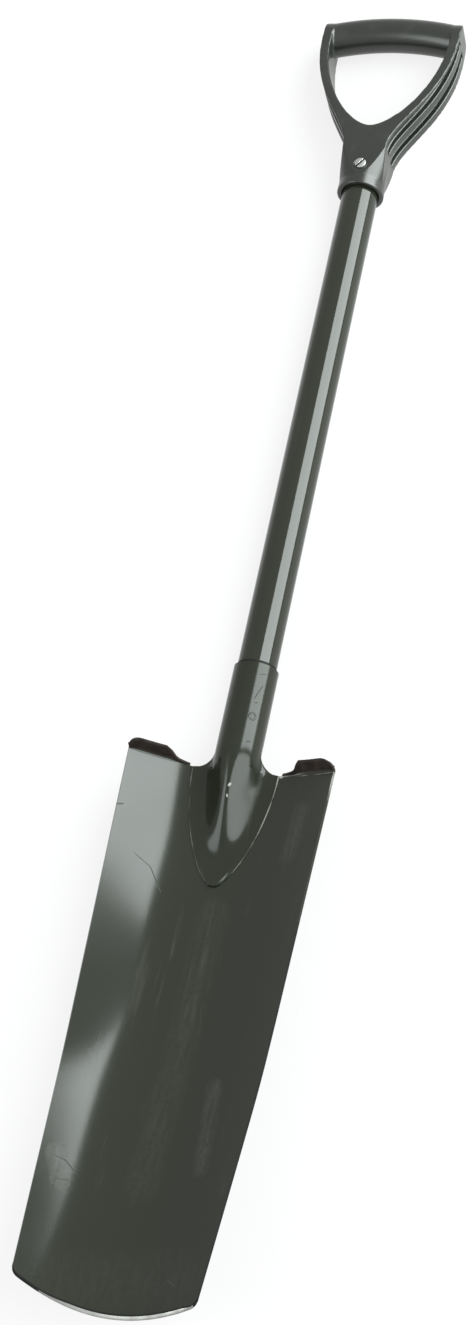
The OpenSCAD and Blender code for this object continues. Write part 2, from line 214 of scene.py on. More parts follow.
class BladeForm:
    """The dished sheet of the blade: where its face lies at each place."""

    # Least reach of a tread at its outer corner, squared, and its reach from the notch to the gap
    CORNER_LEAST = 0.12
    CURL = (0.05, 0.3)

    def __init__(self, blade, socket):
        self.s = blade
        self.fold = blade.fold_lead - socket.round_length - socket.flare_length
        self.mouth = self.fold - blade.long
        self.corner = self.mouth + blade.mouth_round
        self.bend = self.fold - blade.bend_at
        self.toe = self.fold - blade.toe_at

    def along(self, y, top, bend, mouth):
        """A size that changes at one rate down to the bend and at another below it."""
        upper = (bend - top) / self.s.bend_at
        lower = (mouth - bend) / (self.bend - self.corner)
        below = self.bend - y
        soft = (below + math.hypot(below, self.s.bend_soft)) / 2
        return bend + upper * below + (lower - upper) * soft

    def half_width(self, y):
        """Half the width of the blade at a station."""
        return self.along(y, self.s.top_width, self.s.bend_width, self.s.mouth_width) / 2

    def face(self, x, y):
        """Height of the hollow face over the shaft's axis."""
        edge = self.along(y, self.s.edge_top, self.s.edge_bend, self.s.edge_mouth)
        t = max(0, self.toe - y) / (self.toe - self.mouth)
        middle = mix(-self.s.hollow, self.s.middle_mouth, t * t) + self.wave(y)
        return middle + (edge - middle) * (x / self.half_width(y)) ** 2

    def wave(self, y):
        """A shallow wave that the press left along the middle, high above the bend and low at it."""
        t = min(1, max(0, (self.fold - self.s.wave_at - y) / self.s.wave_long))
        return self.s.wave_high * math.sin(2 * math.pi * t) * math.sin(math.pi * t) ** 2

    def mouth_line(self, across):
        """Station of the mouth: a shallow arc with rounded corners."""
        corner = 2 * self.s.mouth_corner / self.s.mouth_width
        t = max(0, abs(across) - 1 + corner) / corner
        arc = self.corner - self.s.mouth_round * (1 - across * across)
        return arc + self.s.mouth_corner * (1 - math.sqrt(max(0, 1 - t * t)))

    def point(self, across, down):
        """A point of the face, from the fold at zero down to the mouth at one."""
        y = mix(self.fold, self.mouth_line(across), down)
        x = across * self.half_width(y)
        return placed(x, y, self.face(x, y))

    def tread_reach(self, x):
        """Share of a tread's full depth at a place across the blade."""
        outside = self.s.top_width / 2 - abs(x)
        inside = abs(x) - self.s.tread_gap / 2
        corner = math.sqrt(max(self.CORNER_LEAST, 1 - max(0, 1 - outside / self.s.tread_corner) ** 2))
        run_out = (2 * abs(x) - self.s.tread_notch) / (self.s.tread_gap - self.s.tread_notch)
        curl = mix(*self.CURL, ramp(run_out))
        return min(corner, mix(curl, 1, ramp((inside + self.s.fold_radius) / (2 * self.s.fold_radius))))

    def tread_point(self, across, step, turns, steps):
        """A point of a tread, which first turns forward round the fold and then runs out straight."""
        x = across * self.half_width(self.fold)
        reach = self.tread_reach(x)
        turn = min(1, step / turns) * math.pi / 2
        run = max(0, step - turns) / (steps - turns)
        radius = self.s.fold_radius * reach
        y = self.fold + radius * math.sin(turn) + self.s.tread_climb * reach * run
        z = radius * (1 - math.cos(turn)) + (self.s.tread_depth * reach - radius) * run
        return placed(x, y, self.face(x, self.fold) + z)


class SocketForm:
    """The rolled sheet of the socket: a round front that flares into the ridged tongue."""

    # Outline of the tongue: how far it runs to its point, and the powers that round its sides and tip
    TIP = 0.98
    TIP_ROUND = (1.8, 0.7)
    # Ridge: softness of its foot, its width from top to end, its fall, and where it has left the tube's round
    FOOT_SOFT = 0.12
    SWELL = (1.55, 0.9)
    SINK = (1.8, 1.3)
    TUBE_SHARE = 0.4
    # Share of even spacing in the columns, and where across the tongue its rim is pressed down
    EVEN = 0.6
    RIM_FROM = 0.8

    def __init__(self, socket, blade_form):
        self.s = socket
        self.blade = blade_form
        self.radius = socket.bore + socket.wall
        self.flare_end = -socket.round_length - socket.flare_length

    def half_width(self, y):
        """Half the width of the sheet: a hollow curve down the flare, then the rounded tongue."""
        widest = self.s.tongue_width / 2
        if y > self.flare_end:
            flared = max(0, -self.s.round_length - y) / self.s.flare_length
            return mix(self.radius, widest, 1 - math.sqrt(1 - flared * flared))
        t = min(1, (self.flare_end - y) / self.s.tongue_length)
        side, tip = self.TIP_ROUND
        return widest * (1 - (t * self.TIP) ** side) ** tip

    def ridge(self, x, y):
        """Height of the ridge, which carries the tube's round on and sinks into the tongue."""
        t = min(1, max(0, (-self.s.round_length - self.s.ridge_lead - y) / self.s.ridge_length))
        foot = self.radius + self.s.ridge_skirt
        peak = self.radius + self.blade.s.hollow - self.s.seat - self.s.wall
        inside = 1 - (x / foot) ** 2
        tube = math.sqrt((inside + math.hypot(inside, self.FOOT_SOFT)) / 2)
        swell = 1 - ramp(abs(x) / foot / mix(*self.SWELL, t))
        start, end = self.SINK
        return peak * (1 - t ** start) ** end * mix(tube, swell, ramp(t / self.TUBE_SHARE))

    def front(self, across, y):
        """A point on the outside of the front, which turns from the tube into the tongue."""
        flared = ramp((-self.s.round_length - y) / self.s.flare_length)
        wide = self.half_width(y) * mix(across ** 3, across, self.EVEN)
        x = mix(self.radius * math.sin(across * math.pi / 2), wide, flared)
        tube = math.sqrt(max(0, self.radius ** 2 - x * x))
        lift = mix(self.s.wall, self.s.lip, ramp((abs(across) - self.RIM_FROM) / (1 - self.RIM_FROM)))
        tongue = self.blade.face(x, y) + self.s.seat + lift + self.ridge(x, y)
        return placed(x, y, mix(tube, tongue, flared))

    def back_end(self, z):
        """Where the open back ends: square beside the blade, slanted behind it."""
        deep = max(0, -self.blade.s.hollow - z) / (self.radius - self.blade.s.hollow)
        return self.blade.fold + self.s.seat + self.s.back_rake * deep


class Value:
    """A shader socket that takes part in Python arithmetic."""

    def __init__(self, finish, socket):
        self.finish = finish
        self.socket = socket

    def __add__(self, other):
        return self.finish.math("ADD", self, other)

    def __radd__(self, other):
        return self.finish.math("ADD", other, self)

    def __sub__(self, other):
        return self.finish.math("SUBTRACT", self, other)

    def __rsub__(self, other):
        return self.finish.math("SUBTRACT", other, self)

    def __mul__(self, other):
        return self.finish.math("MULTIPLY", self, other)

    def __rmul__(self, other):
        return self.finish.math("MULTIPLY", other, self)

    def clamped(self):
        """The value held between zero and one."""
        return self.finish.node("Clamp", {}, {"Value": self})

    def over(self, low, high):
        """Zero below the low value, one above the high value, smooth between."""
        return self.finish.node("MapRange", {"interpolation_type": "SMOOTHSTEP"},
                                {"Value": self, "From Min": low, "From Max": high})


class Finish:
    """A material that is put together from shader nodes."""

    def __init__(self, name):
        self.material = bpy.data.materials.new(name)
        self.material.use_nodes = True
        self.tree = self.material.node_tree
        self.shader = next(n for n in self.tree.nodes if n.type == "BSDF_PRINCIPLED")

    def feed(self, socket, value):
        """Links a value to a socket, or sets the socket to a number or colour."""
        if isinstance(value, Value):
            self.tree.links.new(value.socket, socket)
        else:
            socket.default_value = value

    def node(self, kind, settings, inputs, output=0):
        """Adds a node, sets it up, feeds its sockets and gives back one of its outputs."""
        made = self.tree.nodes.new("ShaderNode" + kind)
        for key, value in settings.items():
            setattr(made, key, value)
        for key, value in inputs.items():
            self.feed(made.inputs[key], value)
        return Value(self, made.outputs[output])

    def math(self, operation, a, b):
        """One step of arithmetic on two values."""
        return self.node("Math", {"operation": operation}, {0: a, 1: b})

    def place(self):
        """Coordinates of the piece."""
        return self.node("TexCoord", {}, {}, "Object")

    def stretched(self, place, scale):
        """Coordinates stretched by a scale on each axis."""
        return self.node("Mapping", {}, {"Vector": place, "Scale": scale})

    def noise(self, place, scale, detail=2, roughness=0.5):
        """Soft noise of a given scale."""
        return self.node("TexNoise", {}, {"Vector": place, "Scale": scale, "Detail": detail,
                                          "Roughness": roughness})

    def blend(self, factor, a, b):
        """Blend of two colours."""
        return self.node("Mix", {"data_type": "RGBA"}, {0: factor, 6: a, 7: b}, 2)

    def bump(self, height, strength, distance, under=None):
        """A normal from a height, over another normal if there is one."""
        inputs = {"Strength": strength, "Distance": distance, "Height": height}
        if under:
            inputs["Normal"] = under
        return self.node("Bump", {}, inputs)

    def surface(self, **values):
        """Feeds the shader's own sockets, named with underscores for spaces."""
        for key, value in values.items():
            self.feed(self.shader.inputs[key.replace("_", " ")], value)


def stroke(x, y, start, end, half):
    """One inside a straight scratch of a given half width, zero outside it."""
    run = Vector(end) - Vector(start)
    from_x, from_y = x - start[0], y - start[1]
    t = ((from_x * run.x + from_y * run.y) * (1 / run.length_squared)).clamped()
    off_x, off_y = from_x - t * run.x, from_y - t * run.y
    return (1 - (off_x * off_x + off_y * off_y) * (1 / half ** 2)).clamped()


def gloss_paint(name, settings, *, rough, streaks, wave, index=1.45, strokes=(), rubs_and_reflection=(), chips=()):
    """Gloss paint with a fine peel, an uneven film, rubbed streaks and places, a painted reflection streak
    where given, scratches, chips and painted highlights along the rims.
    """
    finish = Finish(name)
    place = finish.place()
    x, y = (finish.node("SeparateXYZ", {}, {"Vector": place}, axis) for axis in "XY")
    film = finish.noise(place, 14, 3)
    peel = finish.noise(place, 700, 2)
    grit = finish.noise(place, 260, 3, 0.6)
    lines = finish.noise(finish.stretched(place, (90, 7, 60)), 1, 4, 0.6)
    fine = finish.noise(finish.stretched(place, (420, 9, 300)), 1, 4, 0.7)
    rubbed = lines.over(0.56, 0.78) * finish.noise(place, 11, 2).over(0.45, 0.7) * streaks
    # Given places lighten the paint: rubbed places, and on the blade one painted reflection streak
    for *span, strength in rubs_and_reflection:
        rubbed = stroke(x, y, *span) * (fine * 0.8 + grit * 0.4).over(0.4, 0.85) * strength + rubbed
    rubbed = rubbed.clamped()
    rim = finish.node("Attribute", {"attribute_name": "rim"}, {}, "Fac")
    # Painted highlight along the cut rims, from the rim attribute; the chips added below are real wear
    edge = (rim * (finish.noise(place, 60, 3) + 0.25)).over(0.5, 0.9)
    for chip in chips:
        edge = (stroke(x, y, *chip) * (grit + 0.5)).over(0.3, 0.6) + edge
    edge = edge.clamped()
    dull = film * 0.06 + rubbed * 0.2 + edge * 0.3 + rough
    for cut in strokes:
        dull = stroke(x, y, *cut) * 0.5 + dull
    dents = finish.bump(finish.noise(place, 9, 1), wave, 0.004)
    body = finish.blend(rubbed, tuple(settings.paint), tuple(settings.paint_rubbed_and_reflection))
    finish.surface(
        Base_Color=finish.blend(edge, body, tuple(settings.rim_highlight_and_chips)),
        Roughness=dull,
        Normal=finish.bump(peel, 0.06, 0.0002, dents),
        IOR=index,
    )
    return finish.material


def moulded_plastic(settings):
    """Satin plastic with a fine moulded grain and rubbed patches."""
    finish = Finish("satin_plastic")
    place = finish.place()
    grain = finish.noise(place, 1500, 2)
    flow = finish.noise(finish.stretched(place, (20, 8, 20)), 1, 3)
    rubbed = finish.noise(place, 45, 4, 0.6).over(0.5, 0.8)
    finish.surface(
        Base_Color=finish.blend(rubbed * 0.5, tuple(settings.plastic), tuple(settings.plastic_worn)),
        Roughness=flow * 0.1 + rubbed * 0.06 + 0.24,
        Normal=finish.bump(grain, 0.1, 0.0002),
        IOR=1.58,
    )
    return finish.material


def bare_metal(name, tint, rough):
    """Bare metal with fine grinding lines."""
    finish = Finish(name)
    place = finish.place()
    lines = finish.noise(finish.stretched(place, (2500, 160, 900)), 1, 3)
    stain = finish.noise(place, 80, 3).over(0.4, 0.75)
    dark = tuple(c * 0.55 for c in tint[:3]) + (1,)
    finish.surface(
        Base_Color=finish.blend(stain * 0.6, tuple(tint), dark),
        Metallic=1.0,
        Roughness=lines * 0.2 + stain * 0.15 + rough,
        Normal=finish.bump(lines, 0.15, 0.0001),
    )
    return finish.material


def dull_grime_and_shade(name, tint):
    """Dry dirt over old paint, in soft blotches; in the screw's slot it is painted shade, and above the
    socket's rim a dark line.
    """
    finish = Finish(name)
    blotch = finish.noise(finish.place(), 120, 4, 0.65)
    light = tuple(c * 2.2 for c in tint[:3]) + (1,)
    finish.surface(
        Base_Color=finish.blend(blotch.over(0.4, 0.75), tuple(tint), light),
        Roughness=blotch * 0.2 + 0.55,
        Normal=finish.bump(blotch, 0.2, 0.0003),
        Specular_IOR_Level=0.2,
    )
    return finish.material


def show(thing):
    """Puts an object into the scene."""
    bpy.context.scene.collection.objects.link(thing)


def finished_piece(name, mesh, *, node, materials):
    """Shows a bmesh as a smooth piece that stands for a solid and rides on the spade."""
    data = bpy.data.meshes.new(name)
    mesh.to_mesh(data)
    mesh.free()
    for finish in materials:
        data.materials.append(finish)
    data.shade_smooth()
    piece = bpy.data.objects.new(name, data)
    show(piece)
    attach(piece, "root")
    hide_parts(node)
    return piece


def weighted_normals(piece):
    """Keeps the broad faces of a bevelled piece flat in the light."""
    modifier = piece.modifiers.new("even_light", "WEIGHTED_NORMAL")
    modifier.keep_sharp = True
    modifier.weight = FLAT_PULL


def round_edges(mesh, width):
    """Bevels the sharp edges where the edges beside them leave room."""
    sharp = {e for e in mesh.edges if e.is_manifold and e.calc_face_angle() > SHARP}
    edges = [e for e in mesh.edges if e in sharp
             and all(near in sharp or near.calc_length() > ROOM * width
                     for v in e.verts for near in v.link_edges)]
    bmesh.ops.bevel(mesh, geom=edges, offset=width, segments=2, profile=0.5, affect="EDGES", material=-1,
                    clamp_overlap=True)
    bmesh.ops.dissolve_degenerate(mesh, dist=MERGE, edges=mesh.edges[:])


def settings_of(context):
    """The spade's settings on the scene."""
    return context.scene.spade


class SpadeBlade(bpy.types.Operator):
    """Press the blade from one sheet, turn its treads forward and grind its mouth"""

    bl_idname = "spade.blade"
    bl_label = "Blade"

    # Cuts in the paint: both ends across and along the spade, and half the width
    STROKES = (
        ((-0.080, -0.198), (-0.073, -0.195), 0.0007),
        ((-0.058, -0.229), (-0.046, -0.236), 0.0003),
        ((-0.046, -0.236), (-0.035, -0.253), 0.0004),
        ((-0.060, -0.454), (-0.051, -0.456), 0.0006),
        ((-0.051, -0.456), (-0.042, -0.463), 0.0005),
        ((-0.057, -0.470), (-0.046, -0.469), 0.0006),
        ((0.039, -0.522), (0.045, -0.525), 0.0005),
        ((0.012, -0.330), (0.016, -0.352), 0.0002),
        ((0.050, -0.415), (0.056, -0.428), 0.0003),
    )
    # Lighter places in the paint: both ends across and along the spade, half the width and strength
    RUBS_AND_REFLECTION = (
        # The first place, down the middle, is a painted reflection streak; the others are rubbed paint
        ((0.006, -0.262), (0.003, -0.462), 0.014, 0.16),
        ((0.037, -0.388), (0.042, -0.446), 0.007, 0.35),
        ((-0.030, -0.535), (0.045, -0.520), 0.024, 0.1),
        ((-0.058, -0.452), (-0.050, -0.470), 0.007, 0.5),
        ((0.058, -0.180), (0.054, -0.215), 0.008, 0.3),
    )
    COLUMNS = 72
    ROWS = 132
    FOLD_STEPS = 9
    TREAD_STEPS = 12
    PAINT, STEEL, GRIME, DIRT = range(4)
    # Share of the length over which the right edge carries a painted highlight, and the dirt line's reach in
    # its own widths
    HIGHLIGHT_SHARE = 1 / 3
    DIRT_REACH = 1.5
    # How much closer the columns stand at the edges than in the middle
    CROWDING = 0.3
    # Where across the mouth the bare ground band starts and ends, how far in it has its full width, and
    # the share of that width at its ends
    BARE_ENDS = (-0.70, 0.97)
    RUN_OUTS = (0.40, 0.15)
    THIN_END = 0.35
    # Where down the right edge its dirt starts
    DULL_FROM = 0.3

    def execute(self, context):
        spade = settings_of(context)
        form = BladeForm(spade.blade, spade.socket)
        mesh = bmesh.new()
        across = mesh.verts.layers.float.new("across")
        down = mesh.verts.layers.float.new("down")
        rim = mesh.verts.layers.float.new("rim")
        bmesh.ops.create_grid(mesh, x_segments=self.COLUMNS, y_segments=self.ROWS, size=1)
        for v in mesh.verts:
            v[across] = v.co.x * (1 + self.CROWDING - self.CROWDING * v.co.x ** 2)
            v[down] = self.station((1 - v.co.y) / 2, v[across], spade.blade)
            v.co = form.point(v[across], v[down])
            # The right half of the top edge and the top third of the right edge, fading downwards, get a
            # painted highlight through the rim attribute
            v[rim] = max(0, 1 - v[down] / self.HIGHLIGHT_SHARE) if v.is_boundary and v[across] > 0 else 0
        mouth = [v for v in mesh.verts if v[down] == 1]
        self.turn_treads(mesh, form, across, down, rim)
        dirty = 1 - (spade.blade.ground_width + spade.blade.dark_line_width * self.DIRT_REACH) / spade.blade.long
        for face in mesh.faces:
            upper, lower = min(v[down] for v in face.verts), max(v[down] for v in face.verts)
            middle = sum(v[across] for v in face.verts) / len(face.verts)
            bare = self.BARE_ENDS[0] < middle < self.BARE_ENDS[1]
            if lower == 1 and bare:
                face.material_index = self.STEEL
            elif upper > dirty:
                face.material_index = self.DIRT
            elif upper < -self.FOLD_STEPS / self.TREAD_STEPS / 2:
                face.material_index = self.GRIME
        bmesh.ops.solidify(mesh, geom=mesh.faces[:], thickness=spade.blade.sheet)
        for v in mouth:
            v.co.z -= spade.blade.ground_drop
        for face in mesh.faces:
            if all(v[across] == 1 and v[down] > self.DULL_FROM for v in face.verts):
                face.material_index = self.DIRT
        round_edges(mesh, spade.blade.edge_round)
        paint = gloss_paint("blade_paint", spade.finish, rough=0.10, streaks=0.9, wave=0.1,
                            strokes=self.STROKES, rubs_and_reflection=self.RUBS_AND_REFLECTION)
        ground = bare_metal("ground_steel", spade.finish.steel, 0.3)
        piece = finished_piece("blade_sheet", mesh, node="blade",
                               materials=[paint, ground, dull_grime_and_shade("tread_grime", spade.finish.grime_and_slot_shade),
                                          dull_grime_and_shade("mouth_dirt", spade.finish.packed_dirt_and_dark_line)])
        weighted_normals(piece)
        return {"FINISHED"}

    def station(self, down, across, blade):
        """Where a row of the grid lies: the last two rows bound the dirt line and the ground band."""
        row = round(down * self.ROWS)
        inside = across - self.BARE_ENDS[0], self.BARE_ENDS[1] - across
        full = min(ramp(gap / run) for gap, run in zip(inside, self.RUN_OUTS))
        ground = blade.ground_width * mix(self.THIN_END, 1, full)
        left = {1: ground, 2: ground + blade.dark_line_width}.get(self.ROWS - row)
        return 1 - left / blade.long if left else row / self.ROWS

    def turn_treads(self, mesh, form, across, down, rim):
        """Extrudes the top edge beside the notch round the fold and out to the treads' rims."""
        notch = form.s.tread_notch / form.s.top_width
        edges = [e for e in mesh.edges
                 if all(v[down] < 0.5 / self.ROWS for v in e.verts)
                 and abs(sum(v[across] for v in e.verts)) / 2 > notch]
        for step in range(1, self.TREAD_STEPS + 1):
            grown = bmesh.ops.extrude_edge_only(mesh, edges=edges)["geom"]
            verts = {g for g in grown if isinstance(g, bmesh.types.BMVert)}
            for v in verts:
                v.co = form.tread_point(v[across], step, self.FOLD_STEPS, self.TREAD_STEPS)
                v[down] = -step / self.TREAD_STEPS
                v[rim] = 0
            edges = [g for g in grown if isinstance(g, bmesh.types.BMEdge) and verts.issuperset(g.verts)]


class SpadeSocket(bpy.types.Operator):
    """Roll the socket, open at its back, and flare its front into the tongue"""

    bl_idname = "spade.socket"
    bl_label = "Socket"

    # Cuts in the paint: both ends across and along the spade, and half the width
    STROKES = (
        ((0.0111, -0.0895), (0.0076, -0.1007), 0.0004),
        ((0.0078, -0.0811), (0.0116, -0.0794), 0.0003),
        ((0.0086, -0.1039), (0.0102, -0.1033), 0.0005),
        ((0.0085, -0.1351), (0.0107, -0.1342), 0.0005),
    )
    # Chips down to the primer: both ends across and along the spade, and half the width
    CHIPS = (
        ((0.0024, -0.1682), (0.0016, -0.1694), 0.0011),
        ((0.0011, -0.1761), (0.0014, -0.1774), 0.0007),
    )
    COLUMNS = 96
    BACK_COLUMNS = 40
    ROUND_ROWS = 10
    BACK_ROWS = 8
    FLARE_ROWS = 20
    TONGUE_ROWS = 44
    # How rows crowd towards the tongue's point, and the sheet's share of its full wall
    ROW_BIAS = 1.3
    WALL_SHARE = 0.95

    def execute(self, context):
        spade = settings_of(context)
        form = SocketForm(spade.socket, BladeForm(spade.blade, spade.socket))
        mesh = bmesh.new()
        self.front_sheet(mesh, form)
        self.back_sheet(mesh, form)
        bmesh.ops.remove_doubles(mesh, verts=mesh.verts[:], dist=MERGE)
        bmesh.ops.recalc_face_normals(mesh, faces=mesh.faces[:])
        front = max(mesh.faces, key=lambda f: f.calc_center_median().z)
        if front.normal.z < 0:
            bmesh.ops.reverse_faces(mesh, faces=mesh.faces[:])
        bmesh.ops.solidify(mesh, geom=mesh.faces[:], thickness=spade.socket.wall * self.WALL_SHARE)
        round_edges(mesh, spade.socket.edge_round)
        paint = gloss_paint("socket_paint", spade.finish, rough=0.14, streaks=0.8, wave=0.05, index=1.38,
                            strokes=self.STROKES, chips=self.CHIPS)
        piece = finished_piece("rolled_socket", mesh, node="socket", materials=[paint])
        weighted_normals(piece)
        return {"FINISHED"}

    def front_sheet(self, mesh, form):
        """The front half of the tube, the flare and the tongue as one sheet."""
        rows = self.ROUND_ROWS + self.FLARE_ROWS + self.TONGUE_ROWS
        rim = mesh.verts.layers.float.new("rim")
        made = bmesh.ops.create_grid(mesh, x_segments=self.COLUMNS, y_segments=rows, size=1)["verts"]
        for v in made:
            row = round((1 - v.co.y) / 2 * rows)
            if row <= self.ROUND_ROWS:
                y = -form.s.round_length * row / self.ROUND_ROWS
            elif row <= self.ROUND_ROWS + self.FLARE_ROWS:
                y = -form.s.round_length - form.s.flare_length * (row - self.ROUND_ROWS) / self.FLARE_ROWS
            else:
                t = (row - self.ROUND_ROWS - self.FLARE_ROWS) / self.TONGUE_ROWS
                y = form.flare_end - form.s.tongue_length * (1 - (1 - t) ** self.ROW_BIAS)
            # The tongue's side rims get a painted highlight through the rim attribute
            v[rim] = float(v.is_boundary and self.ROUND_ROWS + self.FLARE_ROWS / 2 < row < rows - 2)
            v.co = form.front(v.co.x, y)

    def back_sheet(self, mesh, form):
        """The back half of the tube, down to its open end."""
        rows = self.ROUND_ROWS + self.BACK_ROWS
        made = bmesh.ops.create_grid(mesh, x_segments=self.BACK_COLUMNS, y_segments=rows, size=1)["verts"]
        for v in made:
            row = round((1 - v.co.y) / 2 * rows)
            turn = math.pi * (1 + v.co.x / 2)
            x, z = form.radius * math.sin(turn), form.radius * math.cos(turn)
            if row <= self.ROUND_ROWS:
                y = -form.s.round_length * row / self.ROUND_ROWS
            else:
                y = mix(-form.s.round_length, form.back_end(z), (row - self.ROUND_ROWS) / self.BACK_ROWS)
            v.co = placed(x, y, z)


class SpadeShaft(bpy.types.Operator):
    """Spin the tubular shaft round its axis"""

    bl_idname = "spade.shaft"
    bl_label = "Shaft"

    STEPS = 128

    def execute(self, context):
        spade = settings_of(context)
        outer, inner = spade.shaft.radius, spade.shaft.radius - spade.shaft.wall
        soft = spade.shaft.end_round
        low, high = SHAFT_LOW.y, SHAFT_HIGH.y
        # A dark band on the tube just above the socket's rim
        dirt = RIM_Y, RIM_Y + spade.shaft.dark_line_width
        rim = [(inner, low), (outer - soft, low), (outer, low + soft), *((outer, y) for y in dirt),
               (outer, high - soft), (outer - soft, high), (inner, high)]
        mesh = bmesh.new()
        ring = [mesh.verts.new((r, y, AXIS_Z)) for r, y in rim]
        edges = [mesh.edges.new((a, b)) for a, b in zip(ring, ring[1:] + ring[:1])]
        bmesh.ops.spin(mesh, geom=ring + edges, cent=(0, 0, AXIS_Z), axis=(0, 1, 0), angle=2 * math.pi,
                       steps=self.STEPS, use_merge=True)
        bmesh.ops.remove_doubles(mesh, verts=mesh.verts[:], dist=MERGE)
        bmesh.ops.recalc_face_normals(mesh, faces=mesh.faces[:])
        paint = gloss_paint("shaft_paint", spade.finish, rough=0.06, streaks=0.4, wave=0.02)
        for face in mesh.faces:
            place = face.calc_center_median()
            outside = math.hypot(place.x, place.z - AXIS_Z) > (inner + outer) / 2
            face.material_index = int(outside and dirt[0] < place.y < dirt[1])
        piece = finished_piece("tube", mesh, node="shaft",
                               materials=[paint, dull_grime_and_shade("rim_dark_line", spade.finish.packed_dirt_and_dark_line)])
        weighted_normals(piece)
        return {"FINISHED"}


class SpadeHandle(bpy.types.Operator):
    """Round the edges of the moulded handle"""

    bl_idname = "spade.handle"
    bl_label = "Handle"

    PASSES = 3

    def execute(self, context):
        spade = settings_of(context)
        mesh = bmesh.new()
        mesh.from_mesh(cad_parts["handle"].data)
        bmesh.ops.remove_doubles(mesh, verts=mesh.verts[:], dist=MERGE)
        piece = finished_piece("moulded_handle", mesh, node="handle",
                               materials=[moulded_plastic(spade.finish)])
        cells = piece.modifiers.new("cells", "REMESH")
        cells.mode = "VOXEL"
        cells.voxel_size = spade.handle.grain
        cells.use_smooth_shade = True
        soft = piece.modifiers.new("soft_edges", "SMOOTH")
        soft.factor = spade.handle.soften
        soft.iterations = self.PASSES
        return {"FINISHED"}


class SpadeFixings(bpy.types.Operator):
    """Finish the screw and the welds"""

    bl_idname = "spade.fixings"
    bl_label = "Screw and welds"

    # Section of the plug weld: distance from its middle and height over the socket
    PLUG = ((0, -0.0005), (0.0013, -0.0004), (0.0020, 0.0001), (0.0026, 0.0004), (0.0031, 0.0002),
            (0.0034, -0.0002), (0.0034, -0.0019), (0, -0.0019))
    PLUG_TURN = math.radians(31)
    PLUG_Y = -0.043
    STEPS = 48
    # Screw: rounding of its head, least depth and half length of its slot, and depth of the slot's walls
    HEAD_ROUND = 0.0004
    SLOT_DEPTH = 0.0005
    SLOT_HALF = 0.003
    SLOT_WALL = 0.0015
    # Normals past these lie level or stand upright
    LEVEL = 0.9
    UPRIGHT = 0.1

    def execute(self, context):
        spade = settings_of(context)
        weld = gloss_paint("weld_paint", spade.finish, rough=0.14, streaks=0.6, wave=0.3)
        self.turn_screw(spade)
        self.fill_plug(spade, weld)
        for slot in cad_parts["back_weld"].material_slots:
            slot.material = weld
        return {"FINISHED"}

    def turn_screw(self, spade):
        """The screw with a rounded head and a dark slot, whose floor and walls carry painted shade in the
        grime colour.
        """
        mesh = bmesh.new()
        mesh.from_mesh(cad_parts["handle_screw"].data)
        bmesh.ops.remove_doubles(mesh, verts=mesh.verts[:], dist=MERGE)
        bmesh.ops.dissolve_limit(mesh, angle_limit=math.radians(1), verts=mesh.verts[:], edges=mesh.edges[:])
        top = max(v.co.z for v in mesh.verts)
        head = max(f.calc_center_median().z for f in mesh.faces if f.normal.z > self.LEVEL)
        middle = (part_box("handle_screw")[0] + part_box("handle_screw")[1]) / 2
        for face in mesh.faces:
            place = face.calc_center_median()
            inside = (place - middle).xy.length < self.SLOT_HALF and place.z > top - self.SLOT_WALL
            floor = face.normal.z > self.LEVEL and place.z < head - self.SLOT_DEPTH
            wall = abs(face.normal.z) < self.UPRIGHT and inside
            # The slot's floor and walls take the grime colour: painted shade in the recess
            face.material_index = int(floor or wall)
        round_edges(mesh, self.HEAD_ROUND)
        finished_piece("slotted_screw", mesh, node="handle_screw",
                       materials=[bare_metal("zinc_plate", spade.finish.zinc, 0.28),
                                  dull_grime_and_shade("slot_shade", spade.finish.grime_and_slot_shade)])

    def fill_plug(self, spade, weld):
        """The plug weld: a low ring round a shallow dimple, laid on the round of the socket."""
        mesh = bmesh.new()
        line = [mesh.verts.new((r, 0, h)) for r, h in self.PLUG]
        edges = [mesh.edges.new(pair) for pair in zip(line, line[1:])]
        bmesh.ops.spin(mesh, geom=line + edges, cent=(0, 0, 0), axis=(0, 0, 1), angle=2 * math.pi,
                       steps=self.STEPS, use_merge=True)
        bmesh.ops.remove_doubles(mesh, verts=mesh.verts[:], dist=MERGE)
        bmesh.ops.recalc_face_normals(mesh, faces=mesh.faces[:])
        radius = spade.socket.bore + spade.socket.wall
        for v in mesh.verts:
            turn = self.PLUG_TURN + v.co.x / radius
            out = radius + v.co.z
            v.co = placed(out * math.sin(turn), self.PLUG_Y + v.co.y, out * math.cos(turn))
        finished_piece("plug_ring", mesh, node="plug_weld", materials=[weld])


